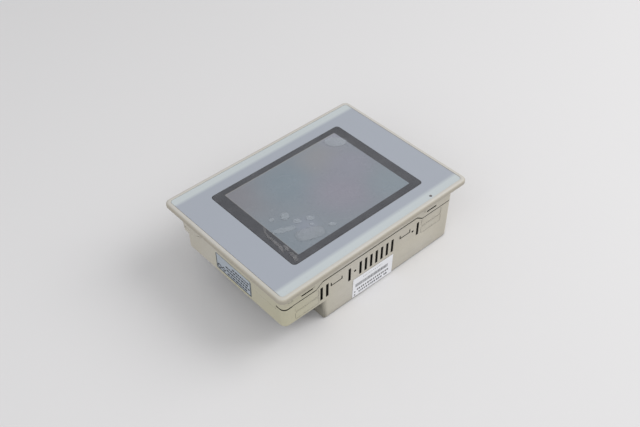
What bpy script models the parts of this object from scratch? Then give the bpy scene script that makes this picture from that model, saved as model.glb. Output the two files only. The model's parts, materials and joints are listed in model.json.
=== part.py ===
"""Panel-mount operator terminal with a 5.7 inch touch screen, lying on its back.

The frame has +X along the screen's long side, +Y towards the screen's top edge and +Z out of the
screen. The origin is under the middle of the front bezel, on the plane of the rear face.
All sizes below are in millimetres. add_object turns them into metres.
"""

import math

import bmesh
import bpy
from mathutils import Vector

MM = 0.001
SMOOTH_ANGLE = math.radians(35)
GAP = 0.3  # clearance between pieces that touch

# Front bezel
BEZEL_W = 195.0
BEZEL_H = 142.0
BEZEL_CORNER = 5.0
DEPTH = 60.0
RIM_THICKNESS = 4.8
RIM_BACK = DEPTH - RIM_THICKNESS
RIM_ROUND = 2.2  # how far the rounding of the rim's front edge reaches inwards
RIM_DROP = 1.9  # and backwards
OVERLAY_TOP = DEPTH - 0.4
OVERLAY_THICKNESS = 0.5
OVERLAY_FLOOR = OVERLAY_TOP - OVERLAY_THICKNESS - GAP
OVERLAY_W = 187.6
OVERLAY_H = 134.6
OVERLAY_CORNER = 3.0
WEB_BACK = 57.2

# Dark window border and the picture area inside it
MASK_W = 134.8
MASK_H = 99.8
MASK_CORNER = 3.0
SCREEN_W = 116.8
SCREEN_H = 88.0
SCREEN_X = 0.7
SCREEN_Y = 0.5
WINDOW_W = 131.0
WINDOW_H = 96.5
GLASS_BACK = 56.6
FILM_LIFT = 0.12
FILM_THICKNESS = 0.18

# Status lamp in the overlay, near the bottom edge
LAMP_X = 60.4
LAMP_Y = -65.0
LAMP_HOLE = 1.2
LAMP_LEG_Y = -57.4

# Case body behind the bezel
BODY_X0 = -91.0
BODY_X1 = 88.6
BODY_Y0 = -64.8
BODY_Y1 = 60.0
BODY_CORNER = 4.5
WALL = 2.4
DRAFT = 0.8  # how far the walls lean in between the seam and the rear face
STEP_X = -51.0
STEP_CORNER = 3.5
BAY_CEILING = 21.1
SHELF_Y = 51.0
SHELF_Z = 35.1
CHASSIS_Z = 44.5
CHASSIS_THICKNESS = 1.0

# Slots for the mounting brackets in the long sides
BRACKET_X = (-73.8, 58.3)
BRACKET_LENGTH = 11.0
BRACKET_Z0 = 43.0
BRACKET_Z1 = 44.4

# Seam between the front case and the rear cover
SEAM_MID = 44.4
SEAM_END = 40.0
SEAM_TAB = 35.8
SEAM_GAP = 0.95
SEAM_SIDE_GAP = 0.35  # in the two short walls
SEAM_CORNER_GAP = 1.4  # where the shells stand further apart, at the near left corner

# Cooling slots share one pitch
VENT_PITCH = 5.72
VENT_X = -14.1
VENT_Z0 = 24.3
VENT_Z1 = 37.9
VENT_W = 2.5
PINHOLE_W = 2.0
PINHOLE_Z0 = 30.6
REAR_SLOT_X = -8.0
REAR_SLOT_ROWS = (-46.0, 0.0)
REAR_SLOT_LENGTH = 22.0

# Snap tabs and grip panels of the bottom wall, as spans along X and Z
SNAP_TABS = ((-45.0, -33.0), (28.2, 40.2))
SNAP_Z0 = 32.6
SNAP_Z1 = 36.2
SNAP_GROOVE = 1.0
GRIP_SPANS = ((-79.8, -56.8), (53.0, 76.0))
GRIP_ROWS = ((23.2, 30.0), (31.0, 37.8))
GRIP_DEPTH = 0.6

# Boards
MAIN_BOARD_Z = 27.5
POWER_BOARD_Z = 12.0
INVERTER_BOARD_Z = 38.0
BOARD = 1.6
POWER_SUPPORTS = ((-14.0, -52.0), (64.0, -52.0), (-14.0, 14.0), (64.0, 14.0))

# Sockets in the step wall
PORT_Z = 10.8
PORT_A_Y = -31.5
PORT_B_Y = 13.5
PORT_A = {"plate": 53.0, "shell": 39.2, "screws": 47.0, "rows": (13, 12)}
PORT_B = {"plate": 30.8, "shell": 17.0, "screws": 25.0, "rows": (5, 4)}
PORT_PLATE_H = 12.5
PORT_SHELL_H = 8.4
PIN_PITCH = 2.76
PIN_ROW = 2.84

# Small moving pieces
DIP_X = -70.0
DIP_Y = -40.0
DIP_PITCH = 2.54
DIP_TRAVEL = 1.6
RESET_X = -70.0
RESET_Y = -20.0
TERMINAL_X0 = -84.0
TERMINAL_X1 = -75.0
TERMINAL_Y0 = 18.0
TERMINAL_Y1 = 43.0
TERMINAL_Z0 = 13.0
TERMINAL_HINGE = (-73.6, 30.5, 12.2)
HATCH_X0 = 30.0
HATCH_X1 = 66.0
HATCH_Z0 = 6.2
HATCH_Z1 = 25.0
HATCH_HINGE = (48.0, 49.9, 7.6)
EXPANSION_Z0 = 16.5
EXPANSION_Z1 = 25.5
EXPANSION_HALF = 20.0

# Pillars of the chassis, as (x, y, outer face of the rear cover there)
PILLARS = ((79.0, -54.0, 0.0), (79.0, 40.0, 0.0), (-81.0, -54.0, BAY_CEILING), (-81.0, 9.0, BAY_CEILING))
SCREW_SEAT = 2.2
SCREW_BOSS = 3.6
SCREW_HEAD = 1.7
SCREW_RADIUS = 1.25

# Stickers, as width, height and the place of their middle
STICKER = 0.2
SERIAL_SIZE = (43.4, 20.2)
SERIAL_X = -0.2
SERIAL_Z = 11.6
RATING_SIZE = (42.2, 16.2)
RATING_Y = -5.9
RATING_Z = 32.7

# Screw bosses of the chassis, in the front case
BOSSES = ((-79.0, -53.0), (77.0, -48.0), (-79.0, 48.0), (77.0, 50.0))

FINISHES = {
    "ivory": ((0.60, 0.57, 0.48), 0.5, 0.0),
    "overlay_blue": ((0.38, 0.41, 0.47), 0.35, 0.0),
    "mask_grey": ((0.10, 0.10, 0.11), 0.3, 0.0),
    "clear_film": ((0.80, 0.82, 0.84), 0.1, 0.0),
    "screen_glass": ((0.26, 0.28, 0.31), 0.15, 0.0),
    "lcd_glass": ((0.15, 0.17, 0.20), 0.15, 0.0),
    "diffuser": ((0.85, 0.86, 0.86), 0.4, 0.0),
    "black_plastic": ((0.03, 0.03, 0.03), 0.45, 0.0),
    "dark_lens": ((0.12, 0.08, 0.08), 0.2, 0.0),
    "rubber": ((0.04, 0.04, 0.04), 0.8, 0.0),
    "board_green": ((0.03, 0.16, 0.08), 0.4, 0.0),
    "steel": ((0.62, 0.63, 0.64), 0.35, 1.0),
    "polyimide": ((0.55, 0.28, 0.06), 0.35, 0.0),
    "cable_grey": ((0.45, 0.46, 0.48), 0.5, 0.0),
    "sleeve_blue": ((0.05, 0.12, 0.30), 0.35, 0.0),
    "switch_blue": ((0.04, 0.15, 0.45), 0.4, 0.0),
    "white_plastic": ((0.80, 0.80, 0.78), 0.4, 0.0),
    "grey_plastic": ((0.30, 0.31, 0.31), 0.5, 0.0),
    "paper": ((0.78, 0.79, 0.82), 0.55, 0.0),
    "foil_label": ((0.52, 0.57, 0.62), 0.4, 0.0),
}


def clear_scene():
    """Remove the objects that a new Blender file starts with."""
    for old in list(bpy.data.objects):
        bpy.data.objects.remove(old, do_unlink=True)


def new_material(name, finish):
    """A Principled material with one of the finishes."""
    colour, roughness, metallic = FINISHES[finish]
    material = bpy.data.materials.new(f"{name}_{finish}")
    material.use_nodes = True
    shader = material.node_tree.nodes["Principled BSDF"]
    shader.inputs["Base Color"].default_value = (*colour, 1.0)
    shader.inputs["Roughness"].default_value = roughness
    shader.inputs["Metallic"].default_value = metallic
    material.diffuse_color = (*colour, 1.0)
    return material


def add_object(name, bm, finish=None, origin=(0.0, 0.0, 0.0)):
    """Make an object from a mesh drawn in millimetres, with its own origin at the given point."""
    bmesh.ops.translate(bm, verts=bm.verts, vec=-Vector(origin))
    bmesh.ops.scale(bm, verts=bm.verts, vec=(MM, MM, MM))
    bmesh.ops.recalc_face_normals(bm, faces=bm.faces)
    mesh = bpy.data.meshes.new(name)
    bm.to_mesh(mesh)
    bm.free()
    mesh.shade_smooth()
    mesh.set_sharp_from_angle(angle=SMOOTH_ANGLE)
    obj = bpy.data.objects.new(name, mesh)
    obj.location = Vector(origin) * MM
    if finish:
        mesh.materials.append(new_material(name, finish))
    bpy.context.scene.collection.objects.link(obj)
    return obj


def combine(target, bm, operation, label):
    """Apply a Boolean to the target with a hidden helper made from the mesh."""
    helper = add_object(f"{target.name}_{label}", bm)
    helper.hide_render = True
    helper.display_type = "WIRE"
    modifier = target.modifiers.new(label, "BOOLEAN")
    modifier.operation = operation
    modifier.solver = "EXACT"
    modifier.object = helper


def cut(target, bm, label):
    combine(target, bm, "DIFFERENCE", label)


def join(target, bm, label):
    combine(target, bm, "UNION", label)


def rounded_rect(x0, x1, y0, y1, radius, segments=6):
    """Corner points of a rectangle with arcs for corners, anticlockwise."""
    centres = ((x1 - radius, y1 - radius), (x0 + radius, y1 - radius),
               (x0 + radius, y0 + radius), (x1 - radius, y0 + radius))
    points = []
    for quarter, (cx, cy) in enumerate(centres):
        for step in range(segments + 1):
            angle = math.pi / 2 * (quarter + step / segments)
            points.append((cx + radius * math.cos(angle), cy + radius * math.sin(angle)))
    return points


def centred_rect(width, height, radius, x=0.0, y=0.0, segments=6):
    return rounded_rect(x - width / 2, x + width / 2, y - height / 2, y + height / 2, radius, segments)


def circle(x, y, radius, sides=16):
    turn = 2 * math.pi / sides
    return [(x + radius * math.cos(turn * i), y + radius * math.sin(turn * i)) for i in range(sides)]


def placed(points, level, axis="z"):
    """Turn flat points into 3-D ones, on a plane across the given axis."""
    if axis == "x":
        return [(level, u, v) for u, v in points]
    if axis == "y":
        return [(u, level, v) for u, v in points]
    return [(u, v, level) for u, v in points]


def add_loft(bm, loops):
    """Closed solid through loops that have the same number of points."""
    rings = [[bm.verts.new(point) for point in loop] for loop in loops]
    count = len(rings[0])
    for lower, upper in zip(rings, rings[1:]):
        for i in range(count):
            j = (i + 1) % count
            bm.faces.new((lower[i], lower[j], upper[j], upper[i]))
    bm.faces.new(rings[0])
    bm.faces.new(rings[-1])


def add_prism(bm, points, low, high, axis="z"):
    add_loft(bm, [placed(points, low, axis), placed(points, high, axis)])


def add_box(bm, low, high):
    (x0, y0, z0), (x1, y1, z1) = low, high
    add_prism(bm, [(x0, y0), (x1, y0), (x1, y1), (x0, y1)], z0, z1)


def add_frame(bm, outer, inner, low, high):
    """Flat ring between two outlines that have the same number of points."""
    loops = [placed(outer, low), placed(outer, high), placed(inner, high), placed(inner, low)]
    rings = [[bm.verts.new(point) for point in loop] for loop in loops]
    count = len(outer)
    for first, second in zip(rings, rings[1:] + rings[:1]):
        for i in range(count):
            j = (i + 1) % count
            bm.faces.new((first[i], first[j], second[j], second[i]))


def box_part(name, finish, low, high, origin=(0.0, 0.0, 0.0)):
    bm = bmesh.new()
    add_box(bm, low, high)
    return add_object(name, bm, finish, origin)


def prism_part(name, finish, points, low, high, axis="z", origin=(0.0, 0.0, 0.0)):
    bm = bmesh.new()
    add_prism(bm, points, low, high, axis)
    return add_object(name, bm, finish, origin)


def box_mesh(*boxes):
    """Mesh of separate boxes, for use as a cutter."""
    bm = bmesh.new()
    for low, high in boxes:
        add_box(bm, low, high)
    return bm


def prism_mesh(points, low, high, axis="z"):
    bm = bmesh.new()
    add_prism(bm, points, low, high, axis)
    return bm


# ---------------------------------------------------------------- front case


def body_outline(inset=0.0, top=BODY_Y1):
    radius = BODY_CORNER - inset
    return rounded_rect(BODY_X0 + inset, BODY_X1 - inset, BODY_Y0 + inset, top - inset, radius)


def long_side_seam():
    """Seam height along the two long sides, as (x, z) points."""
    return [(-100, SEAM_END), (-59.5, SEAM_END), (-53, SEAM_MID),
            (47, SEAM_MID), (53.5, SEAM_END), (100, SEAM_END)]


def short_side_seam():
    """Seam height along the two short sides, as (y, z) points."""
    return [(-75, SEAM_END), (-56.2, SEAM_END), (-55.4, SEAM_TAB), (-32.6, SEAM_TAB),
            (-31.8, SEAM_MID), (31.8, SEAM_MID), (40, SEAM_END), (75, SEAM_END)]


def cut_along_seam(target, level, offset, side_offset):
    """Cut the target away on one side of the seam: up to level, which is above or below it."""
    long_side = [(x, z + offset) for x, z in long_side_seam()]
    long_side += [(100, level), (-100, level)]
    end = SEAM_END + side_offset
    short_side = [(-58, end)]
    short_side += [(y, z + side_offset) for y, z in short_side_seam()[1:-1]]
    short_side += [(54, end), (54, level), (-58, level)]
    cut(target, prism_mesh(long_side, BODY_Y0 - 5, -58, "y"), "seam_bottom")
    cut(target, prism_mesh(long_side, 54, BODY_Y1 + 5, "y"), "seam_top")
    cut(target, prism_mesh(short_side, BODY_X0 - 5, BODY_X0 + 9, "x"), "seam_left")
    cut(target, prism_mesh(short_side, BODY_X1 - 9, BODY_X1 + 5, "x"), "seam_right")


def bracket_slots():
    """Four slots in the long sides that mounting brackets hook into."""
    boxes = []
    for x0 in BRACKET_X:
        for y0, y1 in ((BODY_Y0 - 2, BODY_Y0 + WALL + 2), (BODY_Y1 - WALL - 2, BODY_Y1 + 2)):
            boxes.append(((x0, y0, BRACKET_Z0), (x0 + BRACKET_LENGTH, y1, BRACKET_Z1)))
    return box_mesh(*boxes)


def rim_sections(steps=6):
    """Inset and height of the rim's outer side, from its back to its rounded front edge."""
    sections = [(0.6, RIM_BACK), (0.15, RIM_BACK + 0.25), (0.0, RIM_BACK + 0.8)]
    for step in range(steps + 1):
        angle = math.pi / 2 * step / steps
        inset = RIM_ROUND * (1 - math.cos(angle))
        sections.append((inset, DEPTH - RIM_DROP * (1 - math.sin(angle))))
    return sections


def make_front_case():
    bm = bmesh.new()
    sections = rim_sections()
    loops = []
    for inset, z in sections:
        outline = centred_rect(BEZEL_W - 2 * inset, BEZEL_H - 2 * inset, BEZEL_CORNER - inset / 2)
        loops.append(placed(outline, z))
    add_loft(bm, loops)
    case = add_object("front_case", bm, "ivory")
    join(case, prism_mesh(body_outline(), 35.0, RIM_BACK + 1.5), "skirt")
    recess = centred_rect(OVERLAY_W + 2 * GAP, OVERLAY_H + 2 * GAP, OVERLAY_CORNER)
    cut(case, prism_mesh(recess, OVERLAY_FLOOR, DEPTH + 1), "overlay_recess")
    cut(case, prism_mesh(body_outline(WALL), 30.0, WEB_BACK), "cavity")
    window = centred_rect(WINDOW_W, WINDOW_H, 2.0)
    cut(case, prism_mesh(window, WEB_BACK - 1, DEPTH), "window")
    channel = ((LAMP_X - 1.5, LAMP_Y - 1.8, WEB_BACK - GAP), (LAMP_X + 1.5, LAMP_LEG_Y + 1.6, DEPTH))
    cut(case, box_mesh(channel), "light_pipe_channel")
    groove = bmesh.new()
    add_frame(groove, centred_rect(192.6, 137.4, 3.6), centred_rect(188.6, 133.4, 2.6),
              RIM_BACK - 1, RIM_BACK + 1.0)
    cut(case, groove, "gasket_groove")
    cut_along_seam(case, 30.0, 0.0, 0.0)
    cut(case, bracket_slots(), "bracket_slots")
    bosses = bmesh.new()
    for x, y in BOSSES:
        add_prism(bosses, circle(x, y, 3.2, 12), CHASSIS_Z + 1.3, WEB_BACK + 0.8)
    join(case, bosses, "bosses")
    holes = bmesh.new()
    for x, y in BOSSES:
        add_prism(holes, circle(x, y, 1.5, 8), CHASSIS_Z, WEB_BACK - 2)
    cut(case, holes, "boss_holes")


def make_overlay():
    """Printed sheet round the screen, with a hole for the window and one for the status lamp."""
    overlay = prism_part("front_overlay", "overlay_blue",
                         centred_rect(OVERLAY_W, OVERLAY_H, OVERLAY_CORNER - GAP),
                         OVERLAY_TOP - OVERLAY_THICKNESS, OVERLAY_TOP)
    opening = centred_rect(MASK_W + 2 * GAP, MASK_H + 2 * GAP, MASK_CORNER + GAP)
    cut(overlay, prism_mesh(opening, OVERLAY_FLOOR, DEPTH), "window")
    cut(overlay, prism_mesh(circle(LAMP_X, LAMP_Y, LAMP_HOLE), OVERLAY_FLOOR, DEPTH), "lamp_hole")


def make_window():
    """Dark border, touch glass and the clear film over both."""
    bm = bmesh.new()
    screen = centred_rect(SCREEN_W, SCREEN_H, 0.6, SCREEN_X, SCREEN_Y)
    add_frame(bm, centred_rect(MASK_W, MASK_H, MASK_CORNER), screen,
              OVERLAY_TOP - OVERLAY_THICKNESS, OVERLAY_TOP - 0.05)
    add_object("window_border", bm, "mask_grey")
    glass = centred_rect(WINDOW_W - 2 * GAP, WINDOW_H - 2 * GAP, 1.7)
    prism_part("touch_panel", "screen_glass", glass, GLASS_BACK, OVERLAY_FLOOR)
    film = centred_rect(MASK_W - 0.6, MASK_H - 0.6, MASK_CORNER)
    film_back = OVERLAY_TOP + FILM_LIFT
    prism_part("protective_film", "clear_film", film, film_back, film_back + FILM_THICKNESS)


def make_gasket():
    bm = bmesh.new()
    add_frame(bm, centred_rect(192.0, 136.8, 3.4), centred_rect(189.2, 134.0, 2.8),
              RIM_BACK - 1.0, RIM_BACK + 0.7)
    add_object("panel_gasket", bm, "rubber")


def make_status_lamp():
    """Cranked light pipe from the lamp hole in the overlay down to a lamp on the main board."""
    bar = ((LAMP_X - 1.1, LAMP_Y - 1.3, WEB_BACK), (LAMP_X + 1.1, LAMP_LEG_Y + 1.2, WEB_BACK + 1.3))
    pipe = box_part("led_light_pipe", "dark_lens", *bar)
    head = prism_mesh(circle(LAMP_X, LAMP_Y, LAMP_HOLE - GAP), WEB_BACK + 0.6, OVERLAY_TOP - 0.05)
    join(pipe, head, "head")
    board_top = MAIN_BOARD_Z + BOARD
    leg = ((LAMP_X - 0.9, LAMP_LEG_Y - 1.0, board_top + 3.9),
           (LAMP_X + 0.9, LAMP_LEG_Y + 1.0, WEB_BACK + 0.8))
    join(pipe, box_mesh(leg), "leg")
    lamp = circle(LAMP_X, LAMP_LEG_Y, 1.5, 10)
    prism_part("status_led", "dark_lens", lamp, board_top + GAP, board_top + 3.4)


# ------------------------------------------------------------------- display


def make_display():
    """Liquid crystal cell, its metal frame and the backlight behind it."""
    cell = centred_rect(124, 95, 0.8, SCREEN_X, SCREEN_Y, 2)
    prism_part("lcd_cell", "lcd_glass", cell, 54.0, GLASS_BACK - GAP)
    bm = bmesh.new()
    add_frame(bm, centred_rect(138, 107, 2.0, segments=3), centred_rect(125.4, 100.6, 1.0, segments=3),
              48.4, 56.2)
    add_object("lcd_frame", bm, "steel")
    box_part("light_guide", "diffuser", (-61.5, -43.5, 50.4), (62.0, 47.5, 53.7))
    box_part("backlight_reflector", "white_plastic", (-61.5, -49.6, 49.4), (62.0, 49.6, 50.1))
    tube = [(y - 46.6, z + 52.0) for y, z in circle(0, 0, 1.4, 12)]
    prism_part("backlight_tube", "diffuser", tube, -60.0, 60.0, "x")
    board = box_part("lcd_driver_board", "board_green", (-62.0, 20.0, 46.6), (62.0, 49.0, 47.9))
    join(board, box_mesh(((-12.0, 24.0, 45.9), (12.0, 29.0, 47.0))), "socket")


def strip_outline(route, thickness):
    """Outline of a flat strip of even thickness along a route, seen from its edge."""
    sides = ([], [])
    for i, point in enumerate(route):
        before = Vector(route[max(i - 1, 0)])
        after = Vector(route[min(i + 1, len(route) - 1)])
        along = (after - before).normalized()
        across = Vector((-along.y, along.x)) * thickness / 2
        sides[0].append(tuple(Vector(point) + across))
        sides[1].append(tuple(Vector(point) - across))
    return sides[0] + sides[1][::-1]


def bend(centre, radius, start, end, steps=4):
    """Points along an arc, with angles in degrees."""
    points = []
    for step in range(steps + 1):
        angle = math.radians(start + (end - start) * step / steps)
        points.append((centre[0] + radius * math.cos(angle), centre[1] + radius * math.sin(angle)))
    return points


def make_flat_cables():
    """Flat cables from the display and the touch glass to the main board."""
    display = [(20.5, 45.2)] + bend((17.0, 43.2), 2.0, 90, 180) + bend((13.0, 32.2), 2.0, 0, -90)
    display += [(8.0, 30.2)]
    prism_part("display_cable", "cable_grey", strip_outline(display, 0.4), -11.0, 11.0, "x")
    touch = [(-68.4, 56.4)] + bend((-70.0, 54.4), 2.0, 90, 180) + bend((-74.0, 32.2), 2.0, 0, -90)
    touch += [(-77.5, 30.2)]
    prism_part("touch_cable", "polyimide", strip_outline(touch, 0.35), -5.0, 5.0, "y")


def make_chassis():
    """Steel plate that carries the display and ties both shells together with four pillars."""
    outline = body_outline(WALL + 0.6)
    chassis = prism_part("chassis_plate", "steel", outline, CHASSIS_Z, CHASSIS_Z + CHASSIS_THICKNESS)
    display_window = ((-13.0, 12.0, 40.0), (13.0, 22.0, 50.0))
    touch_window = ((-74.5, -6.0, 40.0), (-69.5, 6.0, 50.0))
    lamp_window = ((LAMP_X - 1.9, LAMP_LEG_Y - 2.0, 40.0), (LAMP_X + 1.9, LAMP_LEG_Y + 2.0, 50.0))
    cut(chassis, box_mesh(display_window, touch_window, lamp_window), "cable_windows")
    pillars = bmesh.new()
    for x, y, z in PILLARS:
        add_prism(pillars, circle(x, y, 3.0, 12), z + SCREW_BOSS + GAP, CHASSIS_Z + 0.5)
    join(chassis, pillars, "pillars")
    holes = bmesh.new()
    for x, y, z in PILLARS:
        add_prism(holes, circle(x, y, 1.6, 8), z + SCREW_BOSS - 1, z + 13)
    for x, y in BOSSES:
        add_prism(holes, circle(x, y, 1.7, 8), CHASSIS_Z - 1, CHASSIS_Z + 2)
    cut(chassis, holes, "screw_holes")


def add_screw(name, x, y, z, head_radius=2.8, shank_radius=SCREW_RADIUS, length=8.0):
    """Pan head screw driven upwards, with its head's outer face at z."""
    bm = bmesh.new()
    under = z + SCREW_HEAD
    profile = ((head_radius * 0.7, z), (head_radius, z + 0.6), (head_radius, under),
               (shank_radius, under), (shank_radius, under + length))
    add_loft(bm, [placed(circle(x, y, radius, 12), level) for radius, level in profile])
    screw = add_object(name, bm, "steel")
    width = head_radius * 0.16
    reach = head_radius * 0.62
    cross = [(-reach, -width), (-width, -width), (-width, -reach), (width, -reach), (width, -width),
             (reach, -width), (reach, width), (width, width), (width, reach), (-width, reach),
             (-width, width), (-reach, width)]
    cut(screw, prism_mesh([(x + u, y + v) for u, v in cross], z - 1, z + 0.9), "recess")


def make_screws():
    for number, (x, y, z) in enumerate(PILLARS, 1):
        add_screw(f"case_screw_{number}", x, y, z + SCREW_SEAT - GAP - SCREW_HEAD)


# ---------------------------------------------------------------- rear cover


def rear_outline(inset, z):
    lean = DRAFT * (1 - z / SEAM_MID) + inset
    return rounded_rect(BODY_X0 + lean, BODY_X1 - lean, BODY_Y0 + lean, BODY_Y1 - inset, BODY_CORNER - inset)


def vent_columns():
    """Pitch numbers of the cooling slots in each long side."""
    return [-7, -6, -2] + list(range(7)) + [11]


def long_side_details():
    """Slots, snap grooves and small holes through the two long walls, as boxes."""
    boxes = []
    for y0, y1 in ((BODY_Y0 - 2, BODY_Y0 + WALL + 1.5), (SHELF_Y - WALL - 1.5, SHELF_Y + 2)):
        for column in vent_columns():
            x = VENT_X + column * VENT_PITCH
            top = VENT_Z1 if y0 < 0 else SHELF_Z - 1.5
            low = VENT_Z0 if y0 < 0 else SHELF_Z - 8.5
            boxes.append(((x - VENT_W / 2, y0, low), (x + VENT_W / 2, y1, top)))
        for column in (-1, 10):
            x = VENT_X + column * VENT_PITCH
            low = (x - PINHOLE_W / 2, y0, PINHOLE_Z0)
            boxes.append((low, (x + PINHOLE_W / 2, y1, PINHOLE_Z0 + PINHOLE_W)))
    return box_mesh(*boxes)


def snap_grooves():
    """U-shaped grooves round the two snap tabs of the bottom wall."""
    bm = bmesh.new()
    floor = SNAP_Z0 + SNAP_GROOVE
    for x0, x1 in SNAP_TABS:
        inner0 = x0 + SNAP_GROOVE
        inner1 = x1 - SNAP_GROOVE
        outline = [(x0, SNAP_Z1), (x0, SNAP_Z0), (x1, SNAP_Z0), (x1, SNAP_Z1),
                   (inner1, SNAP_Z1), (inner1, floor), (inner0, floor), (inner0, SNAP_Z1)]
        add_prism(bm, outline, BODY_Y0 - 2, BODY_Y0 + WALL + 1.5, "y")
    return bm


def grip_panels():
    """Shallow rounded recesses near both ends of the bottom wall."""
    bm = bmesh.new()
    for x0, x1 in GRIP_SPANS:
        for z0, z1 in GRIP_ROWS:
            add_prism(bm, rounded_rect(x0, x1, z0, z1, 1.2, 3), BODY_Y0 - 2, BODY_Y0 + GRIP_DEPTH, "y")
    return bm


def rear_slots():
    """Cooling slots through the rear face."""
    boxes = []
    for row in REAR_SLOT_ROWS:
        for column in range(9):
            x = REAR_SLOT_X + column * VENT_PITCH
            boxes.append(((x, row, -1.0), (x + VENT_W, row + REAR_SLOT_LENGTH, WALL + 1.5)))
    return box_mesh(*boxes)


def bay_outline():
    """Outline of the space beside the step, which leaves the step's upright corners rounded."""
    low = bend((STEP_X + STEP_CORNER, BODY_Y0 + STEP_CORNER), STEP_CORNER, 270, 180, 5)
    high = bend((STEP_X + STEP_CORNER, SHELF_Y - STEP_CORNER), STEP_CORNER, 180, 90, 5)
    outer = BODY_X0 - 20
    inner = STEP_X + STEP_CORNER
    return [(outer, BODY_Y0 - 20), (inner, BODY_Y0 - 20)] + low + high + [(inner, 80), (outer, 80)]


def make_rear_cover():
    bm = bmesh.new()
    loops = [placed(rear_outline(inset, z), z) for inset, z in ((1.1, 0.0), (0.35, 0.35), (0.0, 1.1))]
    loops.append(placed(rear_outline(0.0, SEAM_MID), SEAM_MID + 0.5))
    add_loft(bm, loops)
    cover = add_object("rear_cover", bm, "ivory")
    cut(cover, prism_mesh(bay_outline(), -5, BAY_CEILING), "connector_bay")
    shelf = [(BODY_X0 - 20, SHELF_Y), (BODY_X1 + 20, SHELF_Y), (BODY_X1 + 20, 90), (BODY_X0 - 20, 90)]
    cut(cover, prism_mesh(shelf, -5, SHELF_Z), "top_shelf")
    corner = BODY_CORNER - WALL
    full = rounded_rect(BODY_X0 + WALL, BODY_X1 - WALL, BODY_Y0 + WALL, BODY_Y1 - WALL, corner)
    cut(cover, prism_mesh(full, SHELF_Z + WALL, 60), "front_cavity")
    middle = rounded_rect(BODY_X0 + WALL + 0.5, BODY_X1 - WALL - 0.5, BODY_Y0 + WALL + 0.5,
                          SHELF_Y - WALL, corner)
    cut(cover, prism_mesh(middle, BAY_CEILING + WALL, SHELF_Z + WALL + 1), "middle_cavity")
    deep = rounded_rect(STEP_X + WALL, BODY_X1 - WALL - 0.9, BODY_Y0 + WALL + 0.9, SHELF_Y - WALL, 4.0)
    cut(cover, prism_mesh(deep, WALL, BAY_CEILING + WALL + 1), "deep_cavity")
    cut_along_seam(cover, 60.0, -SEAM_GAP, -SEAM_SIDE_GAP)
    corner_gap = ((BODY_X0 - 5, BODY_Y0 - 5, SEAM_END - SEAM_CORNER_GAP), (-82.5, -56.2, SEAM_END + 1))
    cut(cover, box_mesh(corner_gap), "corner_gap")
    cut(cover, long_side_details(), "long_side_slots")
    cut(cover, snap_grooves(), "snap_grooves")
    cut(cover, grip_panels(), "grip_panels")
    cut(cover, rear_slots(), "rear_slots")
    cut_socket_windows(cover)
    cut_hatches(cover)
    supports = bmesh.new()
    for x, y in POWER_SUPPORTS:
        add_prism(supports, circle(x, y, 3.0, 10), WALL - 0.8, POWER_BOARD_Z - GAP)
    join(cover, supports, "board_supports")
    bosses = bmesh.new()
    holes = bmesh.new()
    seats = bmesh.new()
    for x, y, z in PILLARS:
        add_prism(bosses, circle(x, y, 5.0, 14), z + WALL - 0.8, z + SCREW_BOSS)
        add_prism(holes, circle(x, y, 1.7, 10), z + 1, z + SCREW_BOSS + 1)
        add_prism(seats, circle(x, y, 3.4, 14), z - 1, z + SCREW_SEAT)
    join(cover, bosses, "screw_bosses")
    cut(cover, holes, "screw_holes")
    cut(cover, seats, "screw_seats")


def shell_outline(width, height, y, z):
    """D-shaped outline of a socket in the Y-Z plane, with its long side up."""
    top = width / 2
    low = width / 2 - height * math.tan(math.radians(10))
    nip = 1.2
    points = [(top - nip, height / 2), (-top + nip, height / 2), (-top, height / 2 - nip),
              (-low, -height / 2 + nip), (-low + nip, -height / 2), (low - nip, -height / 2),
              (low, -height / 2 + nip), (top, height / 2 - nip)]
    return [(y + u, z + v) for u, v in points]


def cut_socket_windows(cover):
    """Openings for both sockets, the switches and the power terminals."""
    for number, (port, y) in enumerate(((PORT_A, PORT_A_Y), (PORT_B, PORT_B_Y)), 1):
        hole = shell_outline(port["shell"] + 1.2, PORT_SHELL_H + 1.2, y, PORT_Z)
        cut(cover, prism_mesh(hole, STEP_X - 3, STEP_X + WALL + 1, "x"), f"port_{number}")
        screws = bmesh.new()
        for side in (-1, 1):
            ring = circle(y + side * port["screws"] / 2, PORT_Z, 1.7, 8)
            add_prism(screws, ring, STEP_X - 3, STEP_X + WALL + 1, "x")
        cut(cover, screws, f"port_{number}_screws")
    top = BAY_CEILING + WALL + 1
    dip = ((DIP_X - 4.0, DIP_Y - 6.5, BAY_CEILING - 1), (DIP_X + 4.0, DIP_Y + 6.5, top))
    terminal = ((TERMINAL_X0 - 0.5, TERMINAL_Y0 - 0.5, BAY_CEILING - 1),
                (TERMINAL_X1 + 0.5, TERMINAL_Y1 + 0.5, top))
    cut(cover, box_mesh(dip, terminal), "ceiling_windows")
    cut(cover, prism_mesh(circle(RESET_X, RESET_Y, 2.3, 14), BAY_CEILING - 1, top), "reset_hole")


def cut_hatches(cover):
    """Battery hatch in the top wall and expansion opening in the right wall."""
    hatch = ((HATCH_X0, SHELF_Y - WALL - 2, HATCH_Z0), (HATCH_X1, SHELF_Y + 2, HATCH_Z1))
    right = ((BODY_X1 - WALL - 3, -EXPANSION_HALF, EXPANSION_Z0), (BODY_X1 + 3, EXPANSION_HALF, EXPANSION_Z1))
    cut(cover, box_mesh(hatch, right), "hatches")
    pin = circle(HATCH_HINGE[1], HATCH_HINGE[2], 0.75, 8)
    cut(cover, prism_mesh(pin, HATCH_X0 - 1.5, HATCH_X1 + 1.5, "x"), "hatch_pin_holes")


# ------------------------------------------------------------ moving pieces


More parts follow.
